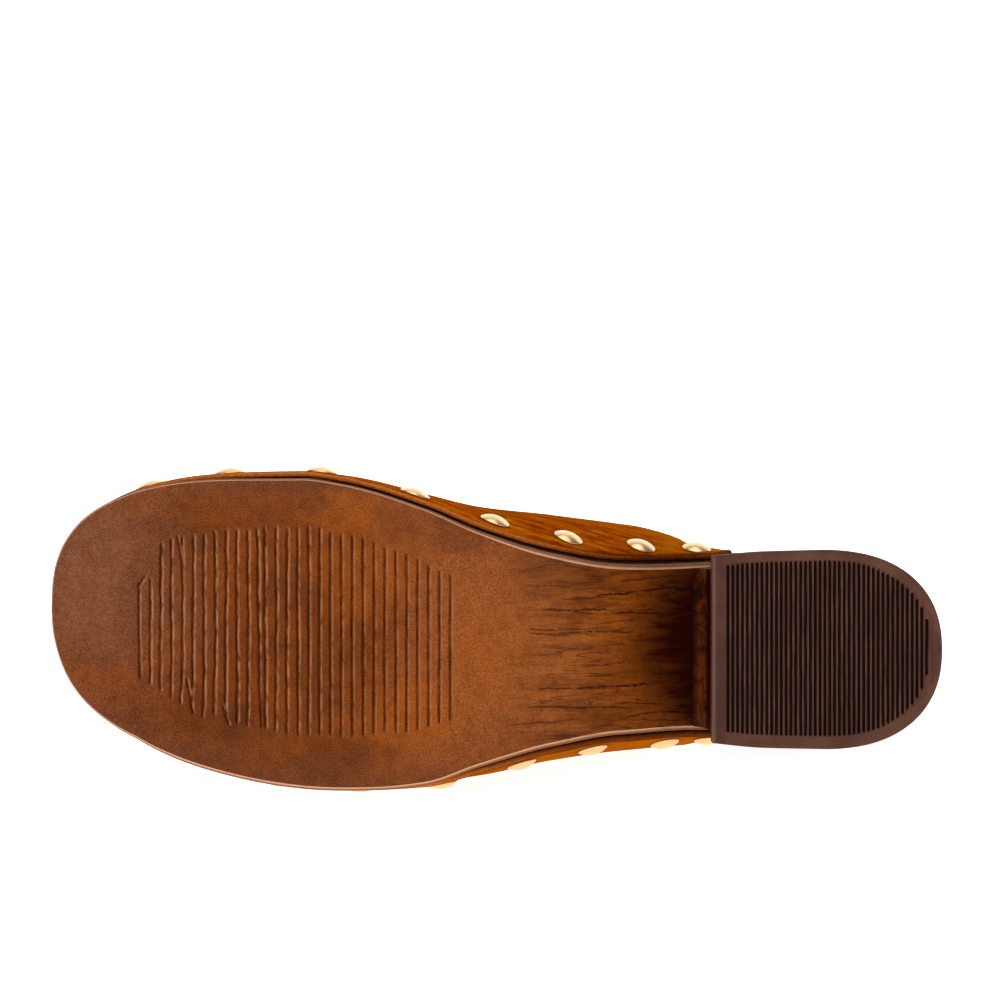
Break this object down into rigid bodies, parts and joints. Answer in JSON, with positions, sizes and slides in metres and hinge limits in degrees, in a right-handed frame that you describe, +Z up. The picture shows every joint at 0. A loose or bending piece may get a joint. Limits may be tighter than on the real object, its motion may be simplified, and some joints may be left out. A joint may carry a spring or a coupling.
{
  "type": "heeled clog",
  "caption": "Closed-toe leather mule nailed with domed studs to a wooden platform with a block heel, ribbed outsole and rubber heel piece, lying on its outer side.",
  "frame": {"origin": "centre of the bounding box's underside, on the floor that the shoe lies on", "axes": "+X from toe to heel, +Y from the tread towards the top of the upper, +Z up from the floor through the outer side to the inner side"},
  "size_m": [0.2622, 0.098, 0.1046],
  "materials": {
    "upper_leather": "orange-brown pull-up leather with darker streaks, satin",
    "platform_wood": "stained brown wood, satin",
    "heel_wood": "dark stained wood, satin",
    "outsole": "leather-brown sole sheet with burnished edges, pressed ribs and a wood-like figure at the waist",
    "heel_rubber": "dark chocolate rubber with fine ribs",
    "insole_leather": "natural tan lining leather",
    "stud_metal": "polished pale gold"
  },
  "bodies": {
    "root": {"upper": "upper_leather", "platform": "platform_wood", "heel_block": "heel_wood", "outsole": "outsole", "heel_top_piece": "heel_rubber", "insole": "insole_leather", "stud_medial_1": "stud_metal", "stud_medial_2": "stud_metal", "stud_medial_3": "stud_metal", "stud_medial_4": "stud_metal", "stud_medial_5": "stud_metal", "stud_medial_6": "stud_metal", "stud_medial_7": "stud_metal", "stud_medial_8": "stud_metal", "stud_lateral_1": "stud_metal", "stud_lateral_2": "stud_metal", "stud_lateral_3": "stud_metal", "stud_lateral_4": "stud_metal", "stud_lateral_5": "stud_metal", "stud_lateral_6": "stud_metal", "stud_lateral_7": "stud_metal", "stud_lateral_8": "stud_metal", "stud_toe_1": "stud_metal", "stud_toe_2": "stud_metal", "stud_toe_3": "stud_metal"}
  },
  "joints": []
}
